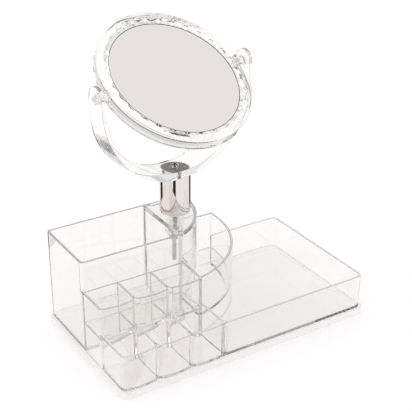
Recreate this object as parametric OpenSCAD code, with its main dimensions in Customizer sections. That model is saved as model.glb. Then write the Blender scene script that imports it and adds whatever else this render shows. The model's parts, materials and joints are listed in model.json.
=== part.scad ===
// Clear cosmetic organizer with a round two-sided mirror on a chrome post.
// Millimetres, +Z up, +X to the right and -Y to the front.
// The origin is the centre of the base on the table.

/* [Base] */
// Width of the base skirt, left to right
base_w = 235; // [228:1:260]
// Depth of the base skirt, front to back
base_d = 133; // [129:1:150]
// Height of the base skirt
skirt_h = 6.2; // [5.6:0.1:7.6]
// Corner radius of the base skirt
skirt_r = 8; // [5:0.5:12]
// Step from the skirt's edge in to the walls
skirt_step = 2.6; // [1.5:0.1:4]
// Thickness of each moulded wall and floor
wall = 2.2; // [1.8:0.1:2.6]
// Top of the floor in the deep compartments
floor_z = 7.7; // [7:0.1:9]

/* [Compartments] */
// Height of the side tray and the front slots
low_h = 36.5; // [30:0.5:42]
// Height of the rear slots and the quarter-round bin
mid_h = 59.5; // [52:0.5:66]
// Height of the tall bin and the tower
tall_h = 85; // [78:0.5:95]
// Depth of the tall bin, back wall to front face
tall_d = 63.4; // [60:0.1:66]
// Depth of the rear row of slots
row_d = 30.7; // [26:0.1:32]
// Width from one slot to the next
slot_pitch = 29.7; // [26:0.1:31]
// Number of slots in a row
slot_count = 3; // [3:1:3]
// Corner radius of a slot's front
slot_r = 4; // [3:0.5:5]
// How far a slot's front bows forward
slot_bow = 1.3; // [0.6:0.1:1.8]
// Corner radius of the tall bin
bin_r = 3.6; // [3:0.1:5]
// Corner radius of the side tray
tray_r = 6; // [4:0.5:9]
// Radius of the tower's round wall
tower_r = 55.5; // [53:0.5:58]
// From the partition to the round walls' centre
round_shift = 17.3; // [15:0.1:18.5]
// Top of the rear slots' raised floor
rear_floor_z = 33.3; // [28:0.1:35]
// Top of the quarter-round bin's raised floor
bin_floor_z = 25.5; // [20:0.1:30]

/* [Tower] */
// Thickness of the tower's top plate above its seat
plate_t = 3; // [2.5:0.1:4]
// Depth of the seat sunk into the tower's top
seat_deep = 1.5; // [0.8:0.1:2]
// Rim left round the seat
seat_rim = 5; // [4:0.5:6]
// From the partition to the post's axis
post_in = 19; // [18:0.1:20]
// From the walls' back face to the post's axis
post_back = 19.8; // [19:0.1:22]
// Radius of the boss below the top plate
boss_r = 7.4; // [7:0.1:9]
// Length of the boss below the top plate
boss_len = 17; // [14:0.5:22]

/* [Post] */
// Outer radius of the chrome tube
tube_r = 13.1; // [11:0.1:13.6]
// Wall of the chrome tube
tube_wall = 1; // [0.8:0.1:1.5]
// Length of the chrome tube
tube_len = 34.1; // [28:0.1:45]
// Radius of the plug's spigot that turns in the boss
spigot_r = 5; // [4.5:0.1:5.5]
// Length of the spigot
spigot_len = 14; // [10:0.5:15]
// Height of each plug inside the tube
plug_h = 8; // [6:0.5:10]
// Radius of the steel tie rod
rod_r = 2; // [1.8:0.1:2.5]
// Free end of the tie rod below its nut
rod_tail = 21; // [10:1:26]
// Thickness of the swivel washer
swivel_t = 0.6; // [0.5:0.1:1]
// Height of the wave spring, closed up
spring_h = 1.2; // [1:0.1:1.6]
// Thickness of the flat washer
washer_t = 0.8; // [0.6:0.1:1.2]
// Height of the lower nut
nut_h = 4; // [3:0.1:5]
// Width of the lower nut across its flats
nut_af = 7; // [6.5:0.1:8]

/* [Yoke] */
// Outer radius of the yoke
yoke_r = 76.2; // [75.5:0.1:82]
// Thickness of an arm at the pivots
arm_t = 3.4; // [3:0.1:4]
// Width of an arm at its end
arm_w = 17.5; // [14:0.5:20]
// Width of the strap over the post
strap_w = 26.6; // [26.2:0.1:30]
// Thickness of the strap over the post
strap_t = 6; // [5.5:0.1:9]
// Flat cut off the strap's bottom where it stands on the tube
strap_flat = 1.2; // [1.15:0.05:1.5]
// Height of the pivots over the centre of the yoke's outer curve
pivot_up = 6.5; // [5:0.1:10]
// Height of the arm ends' round centre over the pivots
tip_up = 1.6; // [0:0.1:3]
// Radius of the nut on the strap
cap_r = 3; // [2.8:0.1:3.5]
// Height of the nut on the strap
cap_h = 5; // [4:0.1:6]
// Depth of the spot face under the nut
nut_seat_deep = 0.2; // [0.1:0.05:0.4]
// Turn of the stand about the post in the photo
stand_turn = 8; // [-30:1:30]

/* [Mirror] */
// Gap between the clear ring and the yoke's arms
ring_gap = 7; // [6.2:0.1:9]
// Width of the clear rim round the glass
rim_w = 10.5; // [10:0.1:14]
// Depth of the ring, front to back
ring_t = 12; // [11:0.5:13]
// Thickness of each glass
glass_t = 2; // [1.8:0.1:2.4]
// Thickness of the web between the glasses
web_t = 1.6; // [1.2:0.1:2.4]
// Width of the web that carries the glass edge
web_w = 4.6; // [3:0.1:6]
// Width of the cut bevel round the glass
bevel_w = 5; // [3:0.5:6]
// Rounding of the ring's outer edges
ring_edge = 1.6; // [1:0.1:2.5]
// Depth of the dish in the magnifying glass
dish_deep = 0.9; // [0.5:0.1:1.1]
// Backward tilt of the mirror in the photo
mirror_tilt = 56; // [0:1:80]
// Radius of the ring's two pivot bosses
lug_r = 4.5; // [4:0.1:5]
// Radius of a pivot pin's shank
pin_r = 1.6; // [1.3:0.1:2]
// Radius of a pivot pin's head
head_r = 3; // [2.8:0.1:3.6]
// Thickness of a pivot pin's head
head_t = 1.6; // [1.4:0.1:2]
// Depth of the counterbore for a pin's head
head_sink = 1.4; // [1:0.1:1.6]
// How far a pivot pin reaches into its boss
pin_in = 10; // [7:0.5:11]
// Thickness of a pivot washer
pivot_washer_t = 0.6; // [0.4:0.1:0.8]

/* [Fits] */
// Clearance of a shaft that turns in a hole
run_gap = 0.08; // [0.05:0.01:0.1]
// Gap left between faces that slide on each other
slide_gap = 0.15; // [0.1:0.05:0.2]
// Clearance round a piece that is seated or glued
seat_gap = 0.15; // [0.1:0.05:0.2]

/* [Hidden] */
$fn = 96;
eps = 0.01;
cut = 1;

// walls and floors
in_w = base_w - 2 * skirt_step;
in_d = base_d - 2 * skirt_step;
left_x = -in_w / 2;
right_x = in_w / 2;
front_y = -in_d / 2;
back_y = in_d / 2;
under_z = floor_z - wall;
part_x = left_x + wall / 2 + slot_count * slot_pitch;
tall_front = back_y - tall_d;
row_front = tall_front - row_d;

// the round walls share one centre, so each runs on from a straight front
round_x = part_x - round_shift;
round_y = tall_front + tower_r;
bin_out_r = tower_r + row_d;

// post and tie rod
post_x = part_x + post_in;
post_y = back_y - post_back;
seat_z = tall_h - seat_deep;
plate_low = seat_z - plate_t;
boss_low = plate_low - boss_len;
tube_low = seat_z + swivel_t + slide_gap;
tube_top = tube_low + tube_len;
spring_top = boss_low - slide_gap;
washer_top = spring_top - spring_h;
nut_top = washer_top - washer_t;
rod_low = nut_top - nut_h - rod_tail;
plug_r = tube_r - tube_wall;

// yoke
yoke_low = tube_top - strap_flat;
yoke_mid = yoke_low + yoke_r;
pivot_z = yoke_mid + pivot_up;
arm_in = yoke_r - arm_t;
strap_top = tube_top + strap_t;
hollow_mid = strap_top + arm_in;
nut_seat = strap_top - nut_seat_deep;
tip_r = arm_w / 2;
taper = atan((strap_w / 2 - tip_r) / (pivot_z - yoke_low));

// mirror head
ring_r = arm_in - ring_gap;
glass_r = ring_r - rim_w;
seat_half = web_t / 2;
rim_half = seat_half + glass_t + 0.2;
face_half = ring_t / 2;
socket_r = glass_r + seat_gap;
dish_r = glass_r - 1.5;
dish_ball = (dish_r * dish_r + dish_deep * dish_deep) / (2 * dish_deep);
washer_dip = max(0, lug_r - pivot_z + hollow_mid);
washer_out = sqrt(arm_in * arm_in - washer_dip * washer_dip) - run_gap / 4;
lug_end = washer_out - slide_gap - pivot_washer_t;
head_in = yoke_r - head_sink;

clear_plastic = [0.93, 0.93, 0.92, 0.45];
chrome = [0.78, 0.78, 0.8];
steel = [0.35, 0.35, 0.37];
nylon = [0.92, 0.92, 0.9];
mirror_grey = [0.86, 0.85, 0.84];
foam_grey = [0.5, 0.5, 0.5];
black_nylon = [0.1, 0.09, 0.09];

// upright block with rounded corners, made of two slabs and four posts
module rounded_block(x0, x1, y0, y1, z0, z1, r) {
    translate([x0 + r, y0, z0])
        cube([x1 - x0 - 2 * r, y1 - y0, z1 - z0]);
    translate([x0, y0 + r, z0])
        cube([x1 - x0, y1 - y0 - 2 * r, z1 - z0]);
    for (x = [x0 + r, x1 - r], y = [y0 + r, y1 - r])
        translate([x, y, z0])
            cylinder(h = z1 - z0, r = r);
}

// block whose front corners are rounded and whose front bows forward
module bowed_block(x0, x1, y0, y1, z0, z1, r, bow) {
    half = (x1 - x0) / 2 - r;
    bow_r = (half * half + bow * bow) / (2 * bow);
    translate([x0, y0 + r, z0])
        cube([x1 - x0, y1 - y0 - r, z1 - z0]);
    translate([x0 + r, y0, z0])
        cube([x1 - x0 - 2 * r, y1 - y0, z1 - z0]);
    for (x = [x0 + r, x1 - r])
        translate([x, y0 + r, z0])
            cylinder(h = z1 - z0, r = r);
    intersection() {
        translate([(x0 + x1) / 2, y0 - bow + bow_r, z0])
            cylinder(h = z1 - z0, r = bow_r, $fn = 180);
        translate([x0 + r, y0 - bow, z0])
            cube([x1 - x0 - 2 * r, bow + r, z1 - z0]);
    }
}

// quarter-round block: an arc about the shared centre, cut off at its left and back
module quarter_block(r, x0, y1, z0, z1) {
    intersection() {
        translate([round_x, round_y, z0])
            cylinder(h = z1 - z0, r = r, $fn = 180);
        translate([x0, round_y - r - cut, z0 - cut])
            cube([round_x + r + cut - x0, y1 - round_y + r + cut, z1 - z0 + 2 * cut]);
    }
}

// left edge of slot number i, measured on the wall's centre line
function slot_x(i) = left_x + wall / 2 + i * slot_pitch;

module slot_fronts(y0, y1, z0, z1) {
    for (i = [0 : slot_count - 1])
        bowed_block(slot_x(i) - (i == 0 ? wall / 2 : 0), slot_x(i + 1) + (i == slot_count - 1 ? wall / 2 : 0),
            y0, y1, z0, z1, slot_r, slot_bow);
}

module slot_pockets(y0, y1, z0, z1) {
    for (i = [0 : slot_count - 1])
        bowed_block(slot_x(i) + wall / 2, slot_x(i + 1) - wall / 2, y0, y1, z0, z1, slot_r - wall / 2, slot_bow);
}

module body_outside() {
    rounded_block(-base_w / 2, base_w / 2, -base_d / 2, base_d / 2, 0, skirt_h, skirt_r);
    rounded_block(part_x - wall / 2, right_x, front_y, back_y, 0, low_h, tray_r);
    translate([part_x - wall / 2, front_y, 0])
        cube([2 * tray_r, 2 * tray_r, low_h]);
    slot_fronts(front_y, row_front + 2 * slot_r, 0, low_h);
    slot_fronts(row_front, tall_front + bin_r + slot_r, 0, mid_h);
    rounded_block(left_x, part_x + wall / 2, tall_front, back_y, 0, tall_h, bin_r);
    quarter_block(bin_out_r, part_x - wall / 2, back_y, 0, mid_h);
    quarter_block(tower_r, part_x - wall / 2, back_y, 0, tall_h);
}

module tall_pocket() {
    rounded_block(left_x + wall, part_x - wall / 2, tall_front + wall, back_y - wall,
        floor_z, tall_h + cut, bin_r - wall / 2);
}

module bin_space(z0, z1) {
    difference() {
        quarter_block(bin_out_r - wall, part_x + wall / 2, back_y - wall, z0, z1);
        quarter_block(tower_r, part_x - wall, back_y, z0 - cut, z1 + cut);
    }
}

module tray_pocket() {
    difference() {
        rounded_block(part_x + wall / 2, right_x - wall, front_y + wall, back_y - wall,
            floor_z, low_h + cut, tray_r - wall / 2);
        quarter_block(bin_out_r, part_x - wall, back_y, floor_z - cut, low_h + 2 * cut);
    }
}

module tower_space(z0, z1) {
    quarter_block(tower_r - wall, part_x + wall / 2, back_y - wall, z0, z1);
}

module tower_seat() {
    quarter_block(tower_r - wall, part_x + seat_rim, back_y - wall, seat_z, tall_h + cut);
}

module under_hollows() {
    rounded_block(-base_w / 2 + wall, base_w / 2 - wall, -base_d / 2 + wall, base_d / 2 - wall,
        -cut, under_z, skirt_r - wall);
    slot_pockets(row_front + wall, tall_front - wall / 2, under_z - cut, rear_floor_z - wall);
    bin_space(under_z - cut, bin_floor_z - wall);
    tower_space(under_z - cut, plate_low);
}

module post_boss() {
    translate([post_x, post_y, boss_low])
        cylinder(h = seat_z - boss_low, r = boss_r);
}

module post_bore() {
    translate([post_x, post_y, boss_low + wall])
        cylinder(h = tall_h - boss_low, r = spigot_r + run_gap);
    translate([post_x, post_y, boss_low - cut])
        cylinder(h = wall + 2 * cut, r = rod_r + 0.4);
}

module organizer_body() {
    color(clear_plastic)
        difference() {
            union() {
                difference() {
                    body_outside();
                    under_hollows();
                }
                post_boss();
            }
            tall_pocket();
            slot_pockets(row_front + wall, tall_front - wall / 2, rear_floor_z, mid_h + cut);
            slot_pockets(front_y + wall, row_front - wall / 2, floor_z, low_h + cut);
            bin_space(bin_floor_z, mid_h + cut);
            tray_pocket();
            tower_seat();
            post_bore();
        }
}

module washer(z, h, r_out, r_in) {
    translate([post_x, post_y, z])
        difference() {
            cylinder(h = h, r = r_out);
            translate([0, 0, -cut])
                cylinder(h = h + 2 * cut, r = r_in);
        }
}

module swivel_washer() {
    color(nylon)
        washer(seat_z, swivel_t, tube_r, spigot_r + 0.5);
}

module post_tube() {
    color(chrome)
        washer(tube_low, tube_len, tube_r, tube_r - tube_wall);
}

module tube_plug_bottom() {
    color(clear_plastic)
        union() {
            washer(tube_low, plug_h, plug_r, rod_r);
            washer(tube_low - spigot_len, spigot_len + eps, spigot_r, rod_r);
        }
}

module tube_plug_top() {
    color(black_nylon)
        washer(tube_top - plug_h, plug_h, plug_r, rod_r);
}

module tie_rod() {
    color(steel)
        translate([post_x, post_y, rod_low])
            cylinder(h = nut_seat + 0.6 * cap_h - rod_low, r = rod_r);
}

module wave_spring() {
    color(steel)
        washer(washer_top, spring_h, boss_r - 2.2, rod_r + 0.4);
}

module flat_washer() {
    color(steel)
        washer(nut_top, washer_t, boss_r - 1.6, rod_r + 0.1);
}

module lower_nut() {
    color(steel)
        translate([post_x, post_y, nut_top - nut_h])
            difference() {
                cylinder(h = nut_h, r = nut_af / sqrt(3), $fn = 6);
                translate([0, 0, -cut])
                    cylinder(h = nut_h + 2 * cut, r = rod_r);
            }
}

// places its children at the pivots' centre, turned with the stand
module on_stand() {
    translate([post_x, post_y, pivot_z])
        rotate([0, 0, stand_turn])
            children();
}

// the yoke seen from the front, with the pivots' axis at height zero
module strap_front() {
    difference() {
        union() {
            translate([0, yoke_mid - pivot_z])
                circle(r = yoke_r, $fn = 180);
            translate([-yoke_r, yoke_mid - pivot_z])
                square([2 * yoke_r, pivot_up + arm_w]);
        }
        translate([0, hollow_mid - pivot_z])
            circle(r = arm_in, $fn = 180);
        translate([-arm_in, hollow_mid - pivot_z])
            square([2 * arm_in, yoke_r]);
        translate([-yoke_r, yoke_low - pivot_z - cut])
            square([2 * yoke_r, strap_flat + cut]);
    }
}

// the yoke seen from the side: as wide as the tube below, round at the arms' ends
module strap_side() {
    translate([0, tip_up])
        circle(r = tip_r);
    polygon([
        [-strap_w / 2, yoke_low - pivot_z],
        [strap_w / 2, yoke_low - pivot_z],
        [tip_r * cos(taper), tip_up + tip_r * sin(taper)],
        [-tip_r * cos(taper), tip_up + tip_r * sin(taper)]
    ]);
}

// cylinder along the pivot axis from x0 to x1 on one side, +1 right or -1 left
module along_pivot(side, x0, x1, r) {
    rotate([0, side * 90, 0])
        translate([0, 0, x0])
            cylinder(h = x1 - x0, r = r);
}

module yoke() {
    color(clear_plastic)
        on_stand()
            difference() {
                intersection() {
                    rotate([90, 0, 0])
                        translate([0, 0, -strap_w])
                            linear_extrude(height = 2 * strap_w)
                                strap_front();
                    rotate([90, 0, 90])
                        translate([0, 0, -yoke_r - cut])
                            linear_extrude(height = 2 * yoke_r + 2 * cut)
                                strap_side();
                }
                for (side = [-1, 1]) {
                    along_pivot(side, arm_in - cut, yoke_r + cut, pin_r + run_gap);
                    along_pivot(side, head_in - slide_gap, yoke_r + cut, head_r + 2 * seat_gap);
                }
                translate([0, 0, yoke_low - pivot_z - cut])
                    cylinder(h = strap_flat + strap_t + 2 * cut, r = rod_r);
                translate([0, 0, nut_seat - pivot_z])
                    cylinder(h = nut_seat_deep + cut, r = cap_r + seat_gap);
            }
}

module yoke_nut() {
    color(steel)
        translate([post_x, post_y, nut_seat])
            difference() {
                union() {
                    cylinder(h = cap_h - cap_r * 0.6, r = cap_r);
                    translate([0, 0, cap_h - cap_r])
                        intersection() {
                            sphere(r = cap_r);
                            cylinder(h = cap_r + cut, r = cap_r * 0.8);
                        }
                }
                translate([0, 0, -cut])
                    cylinder(h = 0.6 * cap_h + cut, r = rod_r);
            }
}

// places its children on the mirror, whose front looks along +Z here
module on_mirror() {
    on_stand()
        rotate([90 - mirror_tilt, 0, 0])
            children();
}

module ring_half() {
    rotate_extrude($fn = 180)
        polygon([
            [glass_r - web_w, 0],
            [ring_r, 0],
            [ring_r, face_half - ring_edge],
            [ring_r - 0.3 * ring_edge, face_half - 0.3 * ring_edge],
            [ring_r - ring_edge, face_half],
            [socket_r + bevel_w, face_half],
            [socket_r, rim_half],
            [socket_r, seat_half],
            [glass_r - web_w, seat_half]
        ]);
}

module mirror_ring() {
    color(clear_plastic)
        difference() {
            union() {
                on_mirror() {
                    ring_half();
                    mirror([0, 0, 1])
                        ring_half();
                }
                on_stand()
                    for (side = [-1, 1])
                        along_pivot(side, socket_r + bevel_w + 1, lug_end, lug_r);
            }
            on_stand()
                for (side = [-1, 1])
                    along_pivot(side, lug_end - pin_in, lug_end + cut, pin_r);
        }
}

module mirror_plain() {
    color(mirror_grey)
        on_mirror()
            translate([0, 0, seat_half])
                cylinder(h = glass_t, r = glass_r, $fn = 180);
}

// half section of the dished glass: flat behind, a shallow ball in front
module dished_half() {
    steps = 12;
    polygon(concat(
        [[0, 0], [glass_r, 0], [glass_r, glass_t]],
        [for (i = [steps : -1 : 0])
            [dish_r * i / steps,
             glass_t - dish_deep + dish_ball - sqrt(dish_ball * dish_ball - pow(dish_r * i / steps, 2))]]
    ));
}

module mirror_magnifying() {
    color(mirror_grey)
        on_mirror()
            mirror([0, 0, 1])
                translate([0, 0, seat_half])
                    rotate_extrude($fn = 180)
                        dished_half();
}

module backing_pad() {
    color(foam_grey)
        on_mirror()
            translate([0, 0, -seat_half])
                cylinder(h = web_t, r = glass_r - web_w - seat_gap, $fn = 180);
}

module pivot_pin(side) {
    color(clear_plastic)
        on_stand() {
            along_pivot(side, lug_end - pin_in, head_in + eps, pin_r);
            along_pivot(side, head_in, head_in + head_t, head_r);
        }
}

module pivot_pin_left() {
    pivot_pin(-1);
}

module pivot_pin_right() {
    pivot_pin(1);
}

module pivot_washer(side) {
    color(nylon)
        on_stand()
            difference() {
                along_pivot(side, washer_out - pivot_washer_t, washer_out, lug_r);
                along_pivot(side, lug_end - cut, arm_in + cut, pin_r + run_gap);
            }
}

module pivot_washer_left() {
    pivot_washer(-1);
}

module pivot_washer_right() {
    pivot_washer(1);
}

organizer_body();
swivel_washer();
post_tube();
tube_plug_bottom();
tube_plug_top();
tie_rod();
wave_spring();
flat_washer();
lower_nut();
yoke();
yoke_nut();
mirror_ring();
mirror_plain();
mirror_magnifying();
backing_pad();
pivot_pin_left();
pivot_pin_right();
pivot_washer_left();
pivot_washer_right();
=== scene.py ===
"""Looks of a clear cosmetic organizer with a round two-sided mirror.

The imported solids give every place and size, in metres, with +Z up and -Y to the front.
This script dresses them: clear mouldings, a plated tube, silvered glass and small hardware,
in a plain pale studio seen from the photograph's viewing angle.
"""

import json
import logging
import math
from dataclasses import dataclass, field
from enum import Enum

import bpy
import numpy as np
from mathutils import Matrix, Vector

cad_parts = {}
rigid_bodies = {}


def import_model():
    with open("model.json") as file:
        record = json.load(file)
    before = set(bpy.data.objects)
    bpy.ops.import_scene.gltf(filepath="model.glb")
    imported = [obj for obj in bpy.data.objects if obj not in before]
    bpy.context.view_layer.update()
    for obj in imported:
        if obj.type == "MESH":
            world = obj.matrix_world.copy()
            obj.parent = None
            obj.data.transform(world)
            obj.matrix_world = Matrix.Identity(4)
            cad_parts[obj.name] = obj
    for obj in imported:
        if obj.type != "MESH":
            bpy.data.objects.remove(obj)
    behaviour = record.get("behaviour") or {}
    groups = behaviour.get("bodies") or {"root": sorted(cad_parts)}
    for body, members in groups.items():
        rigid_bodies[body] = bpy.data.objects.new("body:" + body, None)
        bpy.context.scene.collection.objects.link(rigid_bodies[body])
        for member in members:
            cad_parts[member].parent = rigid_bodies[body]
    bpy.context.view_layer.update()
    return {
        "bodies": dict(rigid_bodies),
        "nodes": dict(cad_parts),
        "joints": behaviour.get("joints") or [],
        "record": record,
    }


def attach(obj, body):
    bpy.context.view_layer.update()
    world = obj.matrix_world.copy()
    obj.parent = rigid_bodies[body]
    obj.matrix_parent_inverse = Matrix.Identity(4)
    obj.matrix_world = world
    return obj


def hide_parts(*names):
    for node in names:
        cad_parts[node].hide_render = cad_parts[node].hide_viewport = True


log = logging.getLogger("organizer")
MM = 0.001
TURN = 2.0 * np.pi
POST_X, POST_Y = -5.7 * MM, 44.1 * MM


class Body(Enum):
    """The rigid bodies that pieces ride on."""

    BASE = "base"
    STAND = "stand"
    HEAD = "head"


class Side(Enum):
    """Which end of the pivot axis a piece is on."""

    LEFT = -1
    RIGHT = 1


class Finish(Enum):
    """The finishes that pieces are dressed in."""

    STYRENE = "styrene"
    ACRYLIC = "acrylic"
    CHROME = "chrome"
    SILVER = "silver"
    ZINC = "zinc"
    OXIDE = "oxide"
    FOAM = "foam"
    NATURAL_NYLON = "natural_nylon"
    BLACK_NYLON = "black_nylon"
    SEAL = "seal"


def linear(hex_colour: str) -> tuple[float, float, float, float]:
    """Turns an sRGB hex colour into linear RGBA.

    Args:
        hex_colour: Six hex digits after a hash sign.

    Returns:
        Red, green, blue and alpha, each from 0 to 1.
    """
    srgb = np.array([int(hex_colour[i : i + 2], 16) for i in (1, 3, 5)]) / 255.0
    flat = np.where(srgb <= 0.04045, srgb / 12.92, ((srgb + 0.055) / 1.055) ** 2.4)
    return (*flat.tolist(), 1.0)


def add_node(
    tree: bpy.types.NodeTree, kind: str, sockets: dict | None = None, **settings
) -> bpy.types.Node:
    """Adds one shader node with its settings, values and links.

    Args:
        tree: The node tree that takes the node.
        kind: The node's type name in Blender.
        sockets: Input name or number to a value, or to an output socket that feeds it.
        **settings: Properties of the node itself.

    Returns:
        The new node.
    """
    node = tree.nodes.new(kind)
    for name, value in settings.items():
        setattr(node, name, value)
    for name, value in (sockets or {}).items():
        if isinstance(value, bpy.types.NodeSocket):
            tree.links.new(value, node.inputs[name])
        else:
            node.inputs[name].default_value = value
    return node


def new_material(name: str) -> tuple[bpy.types.Material, bpy.types.NodeTree, bpy.types.Node]:
    """Makes an empty node material.

    Args:
        name: The material's name.

    Returns:
        The material, its node tree and its output node.
    """
    material = bpy.data.materials.new(name)
    material.use_nodes = True
    tree = material.node_tree
    tree.nodes.clear()
    return material, tree, tree.nodes.new("ShaderNodeOutputMaterial")


def grain(
    tree: bpy.types.NodeTree,
    size_mm: float,
    height_mm: float,
    detail: float,
    stretch: tuple[float, float, float] = (1.0, 1.0, 1.0),
) -> tuple[bpy.types.NodeSocket, bpy.types.NodeSocket]:
    """Lays a noise of a real size over a piece's Object coordinates, with the relief it gives.

    Args:
        tree: The material's node tree.
        size_mm: Spacing of the grain.
        height_mm: Height of its relief.
        detail: How many finer layers the noise has.
        stretch: Scale along each axis; under 1 draws the grain out.

    Returns:
        The noise's value from 0 to 1, and the normal bent by its relief.
    """
    place = add_node(tree, "ShaderNodeTexCoord")
    drawn = add_node(tree, "ShaderNodeMapping", {
        "Vector": place.outputs["Object"], "Scale": stretch})
    noise = add_node(tree, "ShaderNodeTexNoise", {
        "Vector": drawn.outputs["Vector"], "Scale": 1.0 / (size_mm * MM), "Detail": detail})
    bump = add_node(tree, "ShaderNodeBump", {
        "Height": noise.outputs["Fac"], "Strength": 1.0, "Distance": height_mm * MM})
    return noise.outputs["Fac"], bump.outputs["Normal"]


@dataclass(frozen=True)
class ClearMoulding:
    """Clear plastic from a polished mould: glassy faces, soft ripple, grey depth at its edges."""

    name: str
    ior: float
    tint: str = "#FCFCFB"
    shadow: str = "#FDFCFC"
    depth_colour: str = "#A79EA1"
    depth_density: float = 9.0
    roughness: float = 0.012
    roughness_spread: tuple[float, float] = (0.5, 2.0)
    polish_mm: float = 3.0
    polish_detail: float = 2.0
    ripple_mm: float = 14.0
    ripple_height: float = 0.02
    ripple_detail: float = 1.0

    def make(self) -> bpy.types.Material:
        """Builds the material.

        Rays that only carry light or shadow pass straight through, so the floor inside stays lit.

        Returns:
            A clear material whose ripple is the slow flow mark that moulded plastic keeps.
        """
        material, tree, out = new_material(self.name)
        _, normal = grain(tree, self.ripple_mm, self.ripple_height, self.ripple_detail)
        place = add_node(tree, "ShaderNodeTexCoord")
        polish = add_node(tree, "ShaderNodeTexNoise", {
            "Vector": place.outputs["Object"], "Scale": 1.0 / (self.polish_mm * MM),
            "Detail": self.polish_detail})
        low, high = self.roughness_spread
        rough = add_node(tree, "ShaderNodeMapRange", {
            "Value": polish.outputs["Fac"],
            "To Min": low * self.roughness, "To Max": high * self.roughness})
        shell = add_node(tree, "ShaderNodeBsdfPrincipled", {
            "Base Color": linear(self.tint), "IOR": self.ior, "Transmission Weight": 1.0,
            "Roughness": rough.outputs["Result"], "Normal": normal})
        depth = add_node(tree, "ShaderNodeVolumeAbsorption", {
            "Color": linear(self.depth_colour), "Density": self.depth_density})
        path = add_node(tree, "ShaderNodeLightPath")
        soft = add_node(tree, "ShaderNodeMath", {
            0: path.outputs["Is Shadow Ray"], 1: path.outputs["Is Diffuse Ray"]},
            operation="MAXIMUM")
        clear = add_node(tree, "ShaderNodeBsdfTransparent", {"Color": linear(self.shadow)})
        lit = add_node(tree, "ShaderNodeMixShader", {
            0: soft.outputs["Value"], 1: shell.outputs["BSDF"], 2: clear.outputs["BSDF"]})
        tree.links.new(lit.outputs["Shader"], out.inputs["Surface"])
        tree.links.new(depth.outputs["Volume"], out.inputs["Volume"])
        return material


@dataclass(frozen=True)
class Metal:
    """Bare or plated metal with fine marks of its making."""

    name: str
    colour: str
    roughness: float
    mark_mm: float
    mark_height: float
    stretch: tuple[float, float, float] = (1.0, 1.0, 1.0)
    roughness_spread: tuple[float, float] = (0.6, 1.5)
    mark_detail: float = 3.0

    def make(self) -> bpy.types.Material:
        """Builds the material.

        Returns:
            A metal whose marks are drawn out along the way it was drawn or turned.
        """
        material, tree, out = new_material(self.name)
        marks, normal = grain(tree, self.mark_mm, self.mark_height, self.mark_detail, self.stretch)
        low, high = self.roughness_spread
        rough = add_node(tree, "ShaderNodeMapRange", {
            "Value": marks, "To Min": low * self.roughness, "To Max": high * self.roughness})
        shell = add_node(tree, "ShaderNodeBsdfPrincipled", {
            "Base Color": linear(self.colour), "Metallic": 1.0,
            "Roughness": rough.outputs["Result"], "Normal": normal})
        tree.links.new(shell.outputs["BSDF"], out.inputs["Surface"])
        return material


@dataclass(frozen=True)
class Mottled:
    """An opaque plastic or foam with a fine mottle."""

    name: str
    light: str
    dark: str
    roughness: float
    grain_mm: float
    grain_height: float
    shine: float = 0.5
    grain_detail: float = 4.0

    def make(self) -> bpy.types.Material:
        """Builds the material.

        Returns:
            An opaque material with its grain in colour and relief.
        """
        material, tree, out = new_material(self.name)
        mottle, normal = grain(tree, self.grain_mm, self.grain_height, self.grain_detail)
        colour = add_node(tree, "ShaderNodeMix", {
            "Factor": mottle, "A": linear(self.dark), "B": linear(self.light)},
            data_type="RGBA")
        shell = add_node(tree, "ShaderNodeBsdfPrincipled", {
            "Base Color": colour.outputs["Result"], "Roughness": self.roughness,
            "Specular IOR Level": self.shine, "Normal": normal})
        tree.links.new(shell.outputs["BSDF"], out.inputs["Surface"])
        return material


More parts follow.
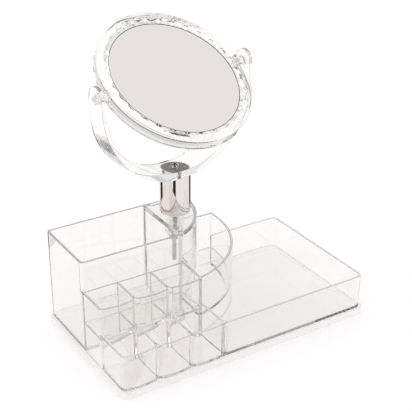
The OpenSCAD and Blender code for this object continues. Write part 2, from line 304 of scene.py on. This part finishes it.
@dataclass
class Wardrobe:
    """Every finish of the object, each made once and shared."""

    cloth: dict[Finish, ClearMoulding | Metal | Mottled] = field(default_factory=lambda: {
        # Polished injection moulding: clear walls whose edges gather a soft grey.
        Finish.STYRENE: ClearMoulding("clear_moulded_styrene", ior=1.58),
        # Cast-bright acrylic: a little less bending, so the arms stay light.
        Finish.ACRYLIC: ClearMoulding(
            "clear_moulded_acrylic", ior=1.49, tint="#FDFDFC", depth_density=4.0),
        # Plating over drawn tube: sharp bands with hair-fine lines along the tube.
        Finish.CHROME: Metal(
            "chrome_plated_tube", "#E4DFDD", roughness=0.03, mark_mm=0.4, mark_height=0.0005,
            stretch=(1.0, 1.0, 0.05)),
        # Float glass with silver behind: an even mirror with a very slow waver.
        Finish.SILVER: Metal(
            "silvered_glass", "#F4EFEC", roughness=0.004, mark_mm=60.0, mark_height=0.0004),
        # Barrel-plated hardware: a dull, fine grained grey.
        Finish.ZINC: Metal(
            "zinc_plated_steel", "#B9B9B6", roughness=0.28, mark_mm=0.3, mark_height=0.004),
        # Blackened steel: a dark point with a soft sheen.
        Finish.OXIDE: Metal(
            "black_oxide_steel", "#4B4645", roughness=0.32, mark_mm=0.25, mark_height=0.004),
        # Closed-cell foam sheet: matt white with small cells, which keeps the ring light.
        Finish.FOAM: Mottled(
            "white_foam", "#F4F2EE", "#E8E5E0", roughness=0.9, grain_mm=0.6, grain_height=0.05),
        # Undyed nylon: milky white with a faint mottle.
        Finish.NATURAL_NYLON: Mottled(
            "natural_nylon", "#F0EDE6", "#E6E2DA", roughness=0.45, grain_mm=1.2,
            grain_height=0.004),
        # Dyed nylon: near black, with a dull skin from the mould.
        Finish.BLACK_NYLON: Mottled(
            "black_nylon", "#1E1614", "#120D0B", roughness=0.5, grain_mm=1.2,
            grain_height=0.004, shine=0.12),
        # Brushed edge paint: matt brown black.
        Finish.SEAL: Mottled(
            "black_edge_paint", "#2C2625", "#171312", roughness=0.55, grain_mm=2.0,
            grain_height=0.01),
    })
    made: dict[Finish, bpy.types.Material] = field(default_factory=dict)

    def get(self, finish: Finish) -> bpy.types.Material:
        """Gives a finish, made the first time it is asked for.

        Args:
            finish: Which finish.

        Returns:
            Its material.
        """
        if finish not in self.made:
            self.made[finish] = self.cloth[finish].make()
        return self.made[finish]


@dataclass(frozen=True)
class Camera:
    """The photograph's viewpoint, fitted to the object's own corners."""

    azimuth: float = -32.651
    elevation: float = 26.651
    roll: float = 0.584
    distance: float = 0.791737
    target: tuple[float, float, float] = (-0.002835, 0.0, 0.105169)
    lens: float = 86.146
    sensor: float = 36.0
    clip: tuple[float, float] = (0.01, 20.0)

    def back(self) -> Vector:
        """Returns the unit direction from the target to the camera."""
        a, e = math.radians(self.azimuth), math.radians(self.elevation)
        return Vector((math.sin(a) * math.cos(e), -math.cos(a) * math.cos(e), math.sin(e)))

    def build(self) -> bpy.types.Object:
        """Makes the camera and sets it as the scene's.

        Returns:
            The camera object.
        """
        a, r = math.radians(self.azimuth), math.radians(self.roll)
        back = self.back()
        right = Vector((math.cos(a), math.sin(a), 0.0))
        up = back.cross(right)
        tilted = math.cos(r) * right + math.sin(r) * up
        upright = math.cos(r) * up - math.sin(r) * right
        lens = bpy.data.cameras.new("camera")
        lens.lens, lens.sensor_width = self.lens, self.sensor
        lens.clip_start, lens.clip_end = self.clip
        camera = bpy.data.objects.new("camera", lens)
        turn = Matrix((tilted, upright, back)).transposed().to_4x4()
        place = Matrix.Translation(Vector(self.target) + self.distance * back)
        camera.matrix_world = place @ turn
        bpy.context.scene.collection.objects.link(camera)
        bpy.context.scene.camera = camera
        return camera


@dataclass(frozen=True)
class DarkCard:
    """A dark card on the floor, out of the picture, that the plated tube shows as a dark band.

    It is a ring sector about the post's foot: bearings in degrees, radii in metres.
    """

    name: str
    first: float
    last: float
    near: float = 0.155
    far: float = 0.27
    colour: str = "#2E211C"
    height: float = 0.001
    rows: int = 32
    columns: int = 8


@dataclass
class Studio:
    """A plain pale floor under a wide soft light, with a darker room behind the camera.

    The room's light depends on a ray's direction: height is its z part, and toward is how far it
    points to the camera's side. Low rays run from far_side to dim as toward grows.
    """

    floor_half: float = 4.0
    floor_lines: int = 9
    floor_colour: str = "#FAFAFA"
    light_colour: str = "#FFFFFF"
    sky: float = 0.88
    fill: float = 1.05
    far_side: float = 0.66
    dim: float = 0.06
    sky_height: tuple[float, float] = (0.08, 0.3)
    dim_toward: tuple[float, float] = (-0.3, 0.5)
    lamp_place: tuple[float, float, float] = (-0.75, 0.8, 1.25)
    lamp_size: float = 1.1
    lamp_power: float = 3.0
    bounces: int = 80
    clear_bounces: int = 40
    cards: tuple[DarkCard, ...] = (
        DarkCard("card_left", 112.0, 140.0, far=0.252),
        DarkCard("card_behind", 5.0, 56.0),
        DarkCard("card_front", 226.0, 246.0),
    )

    def lay(
        self, name: str, x: np.ndarray, y: np.ndarray, height: float, colour: str
    ) -> bpy.types.Object:
        """Lays a sheet of matt paper.

        Its faces look up where the next row lies to the left of the way to the next column.

        Args:
            name: The sheet's name.
            x: Places of its points, rows by columns.
            y: The same for y.
            height: Its height over the ground.
            colour: The paper's colour.

        Returns:
            The sheet.
        """
        rows, columns = x.shape
        points = np.stack([x, y, np.full(x.shape, height)], -1).reshape(-1, 3)
        first = (np.arange(rows - 1)[:, None] * columns + np.arange(columns - 1)).ravel()
        faces = np.column_stack([first, first + 1, first + columns + 1, first + columns])
        mesh = bpy.data.meshes.new(name)
        mesh.from_pydata(points.tolist(), [], faces.tolist())
        material, tree, out = new_material(name + "_paper")
        paper = add_node(tree, "ShaderNodeBsdfDiffuse", {"Color": linear(colour)})
        tree.links.new(paper.outputs["BSDF"], out.inputs["Surface"])
        mesh.materials.append(material)
        sheet = bpy.data.objects.new(name, mesh)
        bpy.context.scene.collection.objects.link(sheet)
        return sheet

    def lay_floor(self) -> None:
        """Lays the floor: a flat grid of z = 0 over x and y."""
        line = np.linspace(-self.floor_half, self.floor_half, self.floor_lines)
        floor = self.lay("floor", *np.meshgrid(line, line), 0.0, self.floor_colour)

    def lay_card(self, card: DarkCard) -> None:
        """Lays a dark card that only mirror-like faces see, as a photographer's flag.

        A point is the post's foot plus r (cos a, sin a), with r from near to far and a from one
        bearing to the other.

        Args:
            card: The card's place and size.
        """
        r, a = np.meshgrid(
            np.linspace(card.near, card.far, card.columns),
            np.radians(np.linspace(card.first, card.last, card.rows)))
        sheet = self.lay(
            card.name, POST_X + r * np.cos(a), POST_Y + r * np.sin(a), card.height, card.colour)
        sheet.visible_camera = sheet.visible_diffuse = False
        sheet.visible_shadow = sheet.visible_transmission = False

    def build_world(self) -> None:
        """Makes the room's light: bright overhead, pale behind the object, dim at the camera."""
        world = bpy.data.worlds.new("room")
        world.use_nodes = True
        bpy.context.scene.world = world
        tree = world.node_tree
        tree.nodes.clear()
        ray = add_node(tree, "ShaderNodeTexCoord").outputs["Generated"]
        split = add_node(tree, "ShaderNodeSeparateXYZ", {"Vector": ray})
        height = add_node(tree, "ShaderNodeMapRange", {
            "Value": split.outputs["Z"], "To Min": 0.0, "To Max": 1.0,
            "From Min": self.sky_height[0], "From Max": self.sky_height[1]},
            interpolation_type="SMOOTHSTEP")
        back = Camera().back()
        toward = add_node(tree, "ShaderNodeVectorMath", {0: ray, 1: (back.x, back.y, 0.0)},
                          operation="DOT_PRODUCT")
        low = add_node(tree, "ShaderNodeMapRange", {
            "Value": toward.outputs["Value"], "To Min": self.far_side, "To Max": self.dim,
            "From Min": self.dim_toward[0], "From Max": self.dim_toward[1]},
            interpolation_type="SMOOTHSTEP")
        level = add_node(tree, "ShaderNodeMix", {
            "Factor": height.outputs["Result"], "A": low.outputs["Result"], "B": self.sky},
            data_type="FLOAT")
        path = add_node(tree, "ShaderNodeLightPath")
        fill = add_node(tree, "ShaderNodeMix", {
            "Factor": path.outputs["Is Diffuse Ray"], "A": level.outputs["Result"],
            "B": self.fill}, data_type="FLOAT")
        shown = add_node(tree, "ShaderNodeMix", {
            "Factor": path.outputs["Is Camera Ray"], "A": fill.outputs["Result"], "B": 1.0},
            data_type="FLOAT")
        light = add_node(tree, "ShaderNodeBackground", {
            "Color": linear(self.light_colour), "Strength": shown.outputs["Result"]})
        out = add_node(tree, "ShaderNodeOutputWorld")
        tree.links.new(light.outputs["Background"], out.inputs["Surface"])

    def build_lamp(self) -> None:
        """Hangs one wide soft lamp behind the object on the left."""
        lamp = bpy.data.lights.new("overhead", "AREA")
        lamp.shape, lamp.size, lamp.energy = "DISK", self.lamp_size, self.lamp_power
        lamp_object = bpy.data.objects.new("overhead", lamp)
        lamp_object.location = self.lamp_place
        lamp_object.rotation_mode = "QUATERNION"
        lamp_object.rotation_quaternion = (-Vector(self.lamp_place)).to_track_quat("-Z", "Y")
        bpy.context.scene.collection.objects.link(lamp_object)

    def build(self) -> None:
        """Builds the floor, the light and the camera, and sets how brightness is shown.

        Light that runs along inside a clear wall turns many corners, so the bounce limits are
        high.
        """
        self.lay_floor()
        for card in self.cards:
            self.lay_card(card)
        self.build_world()
        self.build_lamp()
        Camera().build()
        scene = bpy.context.scene
        scene.view_settings.view_transform = "Standard"
        scene.view_settings.look = "None"
        scene.cycles.max_bounces = self.bounces
        scene.cycles.transmission_bounces = self.bounces
        scene.cycles.glossy_bounces = self.bounces
        scene.cycles.transparent_max_bounces = self.clear_bounces


def bearings(columns: int) -> np.ndarray:
    """Returns evenly spaced bearings round a full turn, in radians."""
    return np.linspace(0.0, TURN, columns, endpoint=False)


def turned(r: np.ndarray, a: np.ndarray, z: np.ndarray) -> np.ndarray:
    """Places points about the local z axis at (r cos a, r sin a, z).

    Args:
        r: Radii.
        a: Bearings in radians.
        z: Heights, all three of shapes that broadcast together.

    Returns:
        The points, with x, y, z on a last axis.
    """
    r, a, z = np.broadcast_arrays(r, a, z)
    return np.stack([r * np.cos(a), r * np.sin(a), z], -1)


def carried(points: np.ndarray, place: Matrix) -> np.ndarray:
    """Moves points from a local frame into the object's: rotation times point plus shift.

    Args:
        points: Any array whose last axis is x, y, z.
        place: The local frame.

    Returns:
        The moved points, in the same array shape.
    """
    frame = np.array(place)
    return points @ frame[:3, :3].T + frame[:3, 3]


def surface(
    name: str, grid: np.ndarray, round_trip: bool, flat_rows: slice | None = None
) -> bpy.types.Object:
    """Makes a closed mesh from a grid of points, whose last column joins its first.

    The point of row i and column j is joined to rows i + 1 and columns j + 1, counted round.
    Faces point outward where columns run counter-clockwise about rows that rise on the outside.

    Args:
        name: The piece's name.
        grid: Points as rows by columns by three.
        round_trip: True where the last row joins the first; otherwise each end row is shut by a
            fan to its mean point.
        flat_rows: Rows whose faces stay flat, as cut facets do.

    Returns:
        The new object, at the origin.
    """
    rows, columns, _ = grid.shape
    points = grid.reshape(-1, 3)
    i, j = np.meshgrid(
        np.arange(rows if round_trip else rows - 1), np.arange(columns), indexing="ij")
    here, there = i * columns, ((i + 1) % rows) * columns
    across = (j + 1) % columns
    quads = np.stack([here + j, here + across, there + across, there + j], -1)
    faces = quads.reshape(-1, 4).tolist()
    flat = np.zeros(i.shape, bool)
    if flat_rows is not None:
        flat[flat_rows] = True
    smooth = (~flat).ravel().tolist()
    if not round_trip:
        points = np.vstack([points, grid[0].mean(0), grid[-1].mean(0)])
        first = np.arange(columns)
        after = (first + 1) % columns
        last = (rows - 1) * columns
        foot, top = np.full(columns, rows * columns), np.full(columns, rows * columns + 1)
        faces += np.column_stack([foot, after, first]).tolist()
        faces += np.column_stack([top, last + first, last + after]).tolist()
        smooth += [False] * (2 * columns)
    mesh = bpy.data.meshes.new(name)
    mesh.from_pydata(points.tolist(), [], faces)
    mesh.polygons.foreach_set("use_smooth", smooth)
    mesh.update()
    piece = bpy.data.objects.new(name, mesh)
    bpy.context.scene.collection.objects.link(piece)
    return piece


def lathe(
    name: str,
    profile: np.ndarray,
    place: Matrix,
    columns: int = 96,
    round_trip: bool = True,
    flat_rows: slice | None = None,
) -> bpy.types.Object:
    """Turns a profile about the local z axis.

    Args:
        name: The piece's name.
        profile: Radius and height pairs, run counter-clockwise in the r, z plane: a closed loop,
            or a line from the axis at the foot to the axis at the top.
        place: Where the local frame stands in the object.
        columns: Steps round the turn.
        round_trip: True for a closed loop.
        flat_rows: Rows whose faces stay flat.

    Returns:
        The new object.
    """
    local = turned(profile[:, :1], bearings(columns), profile[:, 1:])
    return surface(name, carried(local, place), round_trip, flat_rows)


def extent(node: bpy.types.Object) -> tuple[np.ndarray, np.ndarray]:
    """Measures a carried-over solid.

    Args:
        node: The solid's object.

    Returns:
        Its lowest and highest corner in the object's frame, in metres.
    """
    points = np.empty(3 * len(node.data.vertices))
    node.data.vertices.foreach_get("co", points)
    placed = carried(points.reshape(-1, 3), node.matrix_world)
    return placed.min(0), placed.max(0)


def outer_radius(node: bpy.types.Object) -> float:
    """Returns half the x width of a carried-over round solid."""
    low, high = extent(node)
    return 0.5 * (high[0] - low[0])


def dress(node: bpy.types.Object, material: bpy.types.Material) -> None:
    """Gives a carried-over solid its finish.

    Args:
        node: The solid's object.
        material: The finish for every one of its slots.
    """
    for slot in node.material_slots:
        slot.material = material
    log.info("dressed %s with %s", node.name, material.name)


def fit(
    piece: bpy.types.Object,
    material: bpy.types.Material,
    body: Body,
    replaced: str = "",
) -> None:
    """Finishes a built piece and hangs it on its body.

    Args:
        piece: The built piece.
        material: Its finish.
        body: The rigid body it moves with.
        replaced: The carried-over solid that it stands for, if any.
    """
    piece.data.materials.append(material)
    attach(piece, body.value)
    if replaced:
        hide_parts(replaced)
    log.info("built %s for %s in %s", piece.name, replaced or "the look alone", material.name)


def soften(
    node: bpy.types.Object,
    width_mm: float,
    turn_deg: float = 32.0,
    segments: int = 4,
    join_mm: float = 0.002,
    face_weight: int = 100,
) -> None:
    """Rounds the hard edges of a carried-over solid, as a mould leaves them.

    Its loose triangles are joined first, and its broad faces keep their own normals.

    Args:
        node: The solid's object.
        width_mm: Width of the rounding.
        turn_deg: Edges that turn by less than this stay as they are.
        segments: Steps across the rounding.
        join_mm: Points closer than this are joined.
        face_weight: How far broad faces keep their normals, up to 100.
    """
    weld = node.modifiers.new("joined", "WELD")
    weld.merge_threshold = join_mm * MM
    edge = node.modifiers.new("moulded_edge", "BEVEL")
    edge.width = width_mm * MM
    edge.segments = segments
    edge.limit_method = "ANGLE"
    edge.angle_limit = math.radians(turn_deg)
    edge.miter_outer = "MITER_ARC"
    edge.use_clamp_overlap = edge.loop_slide = False
    shade = node.modifiers.new("even_faces", "WEIGHTED_NORMAL")
    shade.mode = "FACE_AREA"
    shade.weight = face_weight


@dataclass
class ClearBase:
    """The moulded organizer: skirted base, bins, slots, tray and the tower under the post.

    A rounding wider than edge leaves stray points at the corners of the slots. Sizes in
    millimetres and degrees.
    """

    edge: float = 0.3
    edge_turn: float = 50.0

    def build(self, nodes: dict[str, bpy.types.Object], wardrobe: Wardrobe) -> None:
        """Dresses the one moulding and the friction washer on its tower.

        Args:
            nodes: The carried-over solids by name.
            wardrobe: The finishes.
        """
        dress(nodes["organizer_body"], wardrobe.get(Finish.STYRENE))
        soften(nodes["organizer_body"], self.edge, self.edge_turn)
        dress(nodes["swivel_washer"], wardrobe.get(Finish.NATURAL_NYLON))


@dataclass
class SwivelStand:
    """The turning stand: plated tube, clear yoke, and the rod and spring stack.

    The thread is drawn at twice the true pitch so that it shows. Sizes in millimetres, shares of
    another size where the comment says so.
    """

    yoke_edge: float = 0.6
    thread_pitch: float = 1.4
    thread_depth: float = 0.4
    thread_length: float = 36.0
    thread_runout: float = 0.5
    thread_steps: int = 10
    rod_columns: int = 32
    spring_bore: float = 2.4
    spring_sheet: float = 0.35
    spring_waves: int = 3
    washer_bore: float = 2.1
    washer_edge: float = 0.15
    nut_flats: float = 7.0
    nut_bore: float = 2.0
    nut_chamfer: float = 30.0
    nut_face: float = 0.98  # share of half the width over flats
    sheet_columns: int = 144
    cap_bore: float = 1.35
    cap_rise: float = 2.2
    cap_foot: float = 0.3  # share of the rise that is upright
    cap_rows: int = 9
    cap_columns: int = 72
    tip_fit: float = 0.98  # share of the cap's bore
    tip_rise: float = 3.0
    tip_sink: float = 0.3
    tip_round: float = 0.6  # height of the rounded end as a share of its radius
    tip_turn: float = 1.4
    tip_rows: int = 8
    tip_columns: int = 40

    def axis(self) -> Matrix:
        """Returns the frame of the post's axis."""
        return Matrix.Translation((POST_X, POST_Y, 0.0))

    def rod(self, node: bpy.types.Object) -> bpy.types.Object:
        """Makes the tie rod with its rolled thread.

        The radius at height z and bearing a is R - depth |2 frac(z / pitch - a / turn) - 1|, a
        single-start helix, and at the lower end no more than R - depth + (z - low), the lead-in
        chamfer. Above the thread the rod is plain.

        Args:
            node: The carried-over rod.

        Returns:
            The rod.
        """
        low, high = extent(node)
        radius, depth = outer_radius(node), self.thread_depth * MM
        pitch = self.thread_pitch * MM
        a = bearings(self.rod_columns)
        z = np.arange(low[2], low[2] + self.thread_length * MM, pitch / self.thread_steps)
        turns = z[:, None] / pitch - a[None, :] / TURN
        thread = radius - depth * np.abs(2.0 * (turns % 1.0) - 1.0)
        thread = np.minimum(thread, radius - depth + (z - low[2])[:, None])
        r = np.vstack([thread, np.full((2, a.size), radius)])
        plain = [z[-1] + self.thread_runout * MM, high[2] - self.tip_rise * MM]
        z = np.concatenate([z, plain])[:, None]
        return surface("threaded_rod", carried(turned(r, a, z), self.axis()), round_trip=False)

    def spring(self, node: bpy.types.Object) -> bpy.types.Object:
        """Makes the wave spring: a flat ring of thin sheet that rises as swing sin(waves a).

        Args:
            node: The carried-over ring that takes its room.

        Returns:
            The spring.
        """
        low, high = extent(node)
        outer, bore = outer_radius(node), self.spring_bore * MM
        sheet = self.spring_sheet * MM
        a = bearings(self.sheet_columns)
        swing = 0.5 * (high[2] - low[2] - sheet) * np.sin(self.spring_waves * a)
        r = np.array([bore, outer, outer, bore])[:, None]
        side = 0.5 * sheet * np.array([-1.0, -1.0, 1.0, 1.0])[:, None]
        z = 0.5 * (low[2] + high[2]) + swing + side
        return surface("wavy_spring", carried(turned(r, a, z), self.axis()), round_trip=True,
                       flat_rows=slice(None))

    def washer(self, node: bpy.types.Object) -> bpy.types.Object:
        """Makes the punched flat washer with its broken edges.

        Args:
            node: The carried-over washer.

        Returns:
            The washer.
        """
        low, high = extent(node)
        outer, bore, edge = outer_radius(node), self.washer_bore * MM, self.washer_edge * MM
        profile = np.array([
            [bore, low[2]], [outer - edge, low[2]], [outer, low[2] + edge],
            [outer, high[2] - edge], [outer - edge, high[2]], [bore, high[2]]])
        return lathe("punched_washer", profile, self.axis())

    def hex_nut(self, node: bpy.types.Object) -> bpy.types.Object:
        """Makes the lower nut: six flats whose corners are turned down by the chamfer.

        The flats stand at R(a) = f / cos(a - b), with f half the width over flats and b the
        nearest flat's bearing. A corner past f loses (R - f) tan(chamfer) at both ends.

        Args:
            node: The carried-over nut.

        Returns:
            The nut.
        """
        low, high = extent(node)
        half, sixth = 0.5 * self.nut_flats * MM, TURN / 6.0
        a = bearings(self.sheet_columns)
        side = half / np.cos((a % sixth) - 0.5 * sixth)
        drop = (side - half) * math.tan(math.radians(self.nut_chamfer))
        level = np.zeros(a.size)
        bore, face = level + self.nut_bore * MM, level + self.nut_face * half
        bottom, top = level + low[2], level + high[2]
        r = np.stack([bore, face, side, side, face, bore])
        z = np.stack([bottom, bottom, bottom + drop, top - drop, top, top])
        return surface("chamfered_nut", carried(turned(r, a, z), self.axis()), round_trip=True,
                       flat_rows=slice(None))

    def clear_cap(self, node: bpy.types.Object) -> bpy.types.Object:
        """Makes the low clear cap over the nut: a quarter round from its foot to its bore.

        Args:
            node: The carried-over nut on the yoke.

        Returns:
            The cap.
        """
        outer, bore, foot = outer_radius(node), self.cap_bore * MM, extent(node)[0][2]
        t = np.linspace(0.0, np.pi / 2, self.cap_rows)
        share = self.cap_foot + (1.0 - self.cap_foot) * np.sin(t)
        dome = np.column_stack([
            bore + (outer - bore) * np.cos(t), foot + self.cap_rise * MM * share])
        profile = np.vstack([[[bore, foot], [outer, foot]], dome])
        return lathe("clear_cap", profile, self.axis(), self.cap_columns)

    def dark_tip(self, node: bpy.types.Object) -> bpy.types.Object:
        """Makes the dark end that stands in the cap's bore: a pin with a rounded top.

        Args:
            node: The carried-over nut on the yoke.

        Returns:
            The tip.
        """
        foot, r = extent(node)[0][2], self.tip_fit * self.cap_bore * MM
        t = np.linspace(0.0, self.tip_turn, self.tip_rows)
        shoulder = foot + (self.cap_rise - self.tip_sink) * MM
        crown = np.column_stack([r * np.cos(t), shoulder + self.tip_round * r * np.sin(t)])
        profile = np.vstack([[[r, foot]], crown])
        return lathe("dark_tip", profile, self.axis(), self.tip_columns, round_trip=False)

    def build(self, nodes: dict[str, bpy.types.Object], wardrobe: Wardrobe) -> None:
        """Builds and dresses the stand.

        Args:
            nodes: The carried-over solids by name.
            wardrobe: The finishes.
        """
        zinc, clear = wardrobe.get(Finish.ZINC), wardrobe.get(Finish.ACRYLIC)
        hardware = {
            "tie_rod": self.rod, "wave_spring": self.spring,
            "flat_washer": self.washer, "lower_nut": self.hex_nut}
        for name, make in hardware.items():
            fit(make(nodes[name]), zinc, Body.STAND, name)
        nut = nodes["yoke_nut"]
        fit(self.clear_cap(nut), clear, Body.STAND, "yoke_nut")
        oxide = wardrobe.get(Finish.OXIDE)
        fit(self.dark_tip(nut), oxide, Body.STAND, "yoke_nut")
        dress(nodes["post_tube"], wardrobe.get(Finish.CHROME))
        dress(nodes["yoke"], clear)
        soften(nodes["yoke"], self.yoke_edge)
        dress(nodes["tube_plug_bottom"], clear)
        dress(nodes["tube_plug_top"], wardrobe.get(Finish.BLACK_NYLON))
        for side in Side:
            dress(nodes[f"pivot_washer_{side.name.lower()}"], wardrobe.get(Finish.NATURAL_NYLON))


@dataclass
class CutRing:
    """The clear ring round the glass, with facets cut into its bevels. Sizes in millimetres."""

    outer: float = 65.8
    socket: float = 55.45
    web_inner: float = 50.7
    seat_half: float = 0.8
    rim_half: float = 3.0
    face_half: float = 6.0
    bevel: float = 5.0
    edge: float = 1.6
    edge_break: float = 0.3  # share of the edge where its rounding breaks
    notch: float = 2.6
    facets: int = 30
    cut_steepness: float = 1.35  # both steepnesses are shares of the plain bevel's slope
    facet_steepness: float = 0.62
    facet_rise: float = 1.05
    facet_start: float = 0.2
    cut_reach: float = 1.3  # both reaches are shares of the bevel's width
    flat_reach: float = 1.5
    cut_rows: int = 16
    steps: int = 12

    def height(self, r: np.ndarray, a: np.ndarray, notch: float) -> np.ndarray:
        """Height of the ring's face over its mid-plane.

        It is the lowest of the flat face, the rounded outer edge, the bevel cut with diamonds and
        a shallow row of facets. The bevel is rim + steep slope (r - socket) less a diamond of
        notch (1 - |2 u - 1|) w, where u runs from 0 to 1 across it and w is a triangle wave of the
        bearing, 0 on each ridge and 1 between two. A shallow facet rises along its own bearing b
        as rim + rise + shallow slope (r cos(a - b) - socket - start), and lies over a ridge.

        Args:
            r: Radii.
            a: Bearings in radians.
            notch: How deep the diamonds are cut.

        Returns:
            Heights of the same shape.
        """
        step = TURN / self.facets
        slope = (self.face_half - self.rim_half) / self.bevel
        wave = 1.0 - np.abs(2.0 * ((a / step) % 1.0) - 1.0)
        u = np.clip((r - self.socket) / self.bevel, 0.0, 1.0)
        cut = self.rim_half + self.cut_steepness * slope * (r - self.socket)
        cut = cut - notch * (1.0 - np.abs(2.0 * u - 1.0)) * wave
        along = r * np.cos(((a + step / 2) % step) - step / 2) - self.socket - self.facet_start
        facet = self.rim_half + self.facet_rise + self.facet_steepness * slope * along
        broken = self.edge_break * self.edge
        rounded = np.interp(
            r, [self.outer - self.edge, self.outer - broken, self.outer],
            [self.face_half, self.face_half - broken, self.face_half - self.edge])
        return np.minimum(np.minimum(cut, facet), np.minimum(rounded, self.face_half))

    def build(self, place: Matrix) -> bpy.types.Object:
        """Makes the ring as one closed band: round its section by rows, round it by columns.

        Only the front is notched. The back carries the shallow facets alone.

        Args:
            place: The mirror's own frame.

        Returns:
            The ring.
        """
        columns = self.facets * self.steps
        a = bearings(columns)
        across = np.concatenate([
            np.linspace(self.socket, self.socket + self.cut_reach * self.bevel, self.cut_rows),
            [self.socket + self.flat_reach * self.bevel, self.outer - self.edge,
             self.outer - self.edge_break * self.edge, self.outer]])
        r, angle = np.meshgrid(across, a, indexing="ij")
        corners = np.array([
            [self.web_inner, 0.0], [self.web_inner, self.seat_half],
            [self.socket, self.seat_half]])
        web = np.repeat(corners[:, None, :], columns, axis=1)
        front, plain = (
            np.concatenate([web, np.stack([r, self.height(r, angle, notch)], -1)])
            for notch in (self.notch, 0.0))
        back = plain[:0:-1] * np.array([1.0, -1.0])
        section = np.concatenate([front, back])[::-1] * MM
        band = turned(section[..., 0], a, section[..., 1])
        return surface("cut_ring", carried(band, place), round_trip=True, flat_rows=slice(None))


@dataclass
class MirrorHead:
    """The tilting head: ring, two glasses with their sealed edges, pad and pivot pins.

    Sizes in millimetres and degrees.
    """

    stand_turn: float = 8.0
    tilt: float = 56.0
    pivot_height: float = 199.85
    boss_bore: float = 1.66
    boss_radius: float = 4.5
    boss_foot: float = 65.45
    boss_end: float = 72.0
    boss_fillet: float = 1.0
    boss_round: float = 0.3
    boss_rows: int = 7
    boss_columns: int = 64
    pad_half: float = 0.8
    glass: float = 2.0
    glass_radius: float = 55.3
    glass_columns: int = 240
    dish_radius: float = 53.8
    dish_depth: float = 0.9
    dish_core: float = 0.02  # share of the dish's radius that is left flat at its middle
    dish_rows: int = 24
    seal_inner: float = 54.95
    seal_outer: float = 55.40
    seal_low: float = 2.5
    seal_high: float = 2.98
    ring: CutRing = field(default_factory=CutRing)

    def stand_frame(self) -> Matrix:
        """Returns the frame at the pivots' centre, turned with the stand."""
        return (Matrix.Translation((POST_X, POST_Y, self.pivot_height * MM))
                @ Matrix.Rotation(math.radians(self.stand_turn), 4, "Z"))

    def mirror_frame(self) -> Matrix:
        """Returns the mirror's frame, whose +Z looks out of the plain glass."""
        return self.stand_frame() @ Matrix.Rotation(math.radians(90.0 - self.tilt), 4, "X")

    def boss(self, side: Side) -> bpy.types.Object:
        """Makes one of the ring's pivot bosses: a short tube, turned on the pivot axis.

        Its foot runs out to the ring in a quarter-round fillet, and its end is rounded.

        Args:
            side: Which end of the pivot axis.

        Returns:
            The boss.
        """
        t = np.linspace(0.0, np.pi / 2, self.boss_rows)
        foot = np.column_stack([
            self.boss_radius + self.boss_fillet * (1.0 - np.sin(t)),
            self.boss_foot + self.boss_fillet * (1.0 - np.cos(t))])
        tip = np.column_stack([
            self.boss_radius - self.boss_round * (1.0 - np.cos(t)),
            self.boss_end - self.boss_round * (1.0 - np.sin(t))])
        start, end = [self.boss_bore, self.boss_foot], [self.boss_bore, self.boss_end]
        profile = np.vstack([[start], foot, tip, [end]]) * MM
        turn = Matrix.Rotation(math.radians(90.0 * side.value), 4, "Y")
        name = f"ring_boss_{side.name.lower()}"
        return lathe(name, profile, self.stand_frame() @ turn, self.boss_columns)

    def dished_glass(self) -> bpy.types.Object:
        """Makes the second glass, whose face is ground as part of a ball inside a flat border.

        With R = (c^2 + d^2) / 2 d for a dish of radius c and depth d, the face at radius r stands
        pad + glass - d + R - sqrt(R^2 - r^2) behind the ring's mid-plane.

        Returns:
            The glass.
        """
        c, d = self.dish_radius, self.dish_depth
        ball = (c * c + d * d) / (2.0 * d)
        r = np.linspace(self.dish_core * c, c, self.dish_rows)
        back = self.pad_half + self.glass
        face = back - d + ball - np.sqrt(ball * ball - r * r)
        rim = [[self.glass_radius, -back], [self.glass_radius, -self.pad_half]]
        profile = np.vstack([np.column_stack([r, -face]), rim]) * MM
        return lathe("dished_glass", profile, self.mirror_frame(), self.glass_columns,
                     round_trip=False, flat_rows=slice(r.size - 1, None))

    def edge_seal(self, name: str, low: float, high: float) -> bpy.types.Object:
        """Makes the dark edge paint of a glass, which shows as a thin line round it.

        The band covers the glass's rim and stands a little over its face.

        Args:
            name: The piece's name.
            low: Its lower height over the ring's mid-plane, in millimetres.
            high: Its upper height, in millimetres.

        Returns:
            The seal.
        """
        profile = np.array([
            [self.seal_inner, low], [self.seal_outer, low],
            [self.seal_outer, high], [self.seal_inner, high]])
        return lathe(name, profile * MM, self.mirror_frame(), self.glass_columns)

    def build(self, nodes: dict[str, bpy.types.Object], wardrobe: Wardrobe) -> None:
        """Builds and dresses the head.

        Args:
            nodes: The carried-over solids by name.
            wardrobe: The finishes.
        """
        clear, seal = wardrobe.get(Finish.ACRYLIC), wardrobe.get(Finish.SEAL)
        silver = wardrobe.get(Finish.SILVER)
        ring = self.ring.build(self.mirror_frame())
        fit(ring, clear, Body.HEAD, "mirror_ring")
        for side in Side:
            fit(self.boss(side), clear, Body.HEAD, "mirror_ring")
            dress(nodes[f"pivot_pin_{side.name.lower()}"], clear)
        front = self.edge_seal("edge_seal_front", self.seal_low, self.seal_high)
        back = self.edge_seal("edge_seal_back", -self.seal_high, -self.seal_low)
        fit(front, seal, Body.HEAD)
        fit(back, seal, Body.HEAD)
        dress(nodes["mirror_plain"], silver)
        fit(self.dished_glass(), silver, Body.HEAD, "mirror_magnifying")
        dress(nodes["backing_pad"], wardrobe.get(Finish.FOAM))


def main() -> None:
    """Loads the frame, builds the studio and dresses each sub-assembly."""
    logging.basicConfig(level=logging.INFO, format="%(name)s: %(message)s")
    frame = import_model()
    nodes = frame["nodes"]
    Studio().build()
    wardrobe = Wardrobe()
    for assembly in (ClearBase(), SwivelStand(), MirrorHead()):
        assembly.build(nodes, wardrobe)
        log.info("finished %s", type(assembly).__name__)


if __name__ == "__main__":
    main()
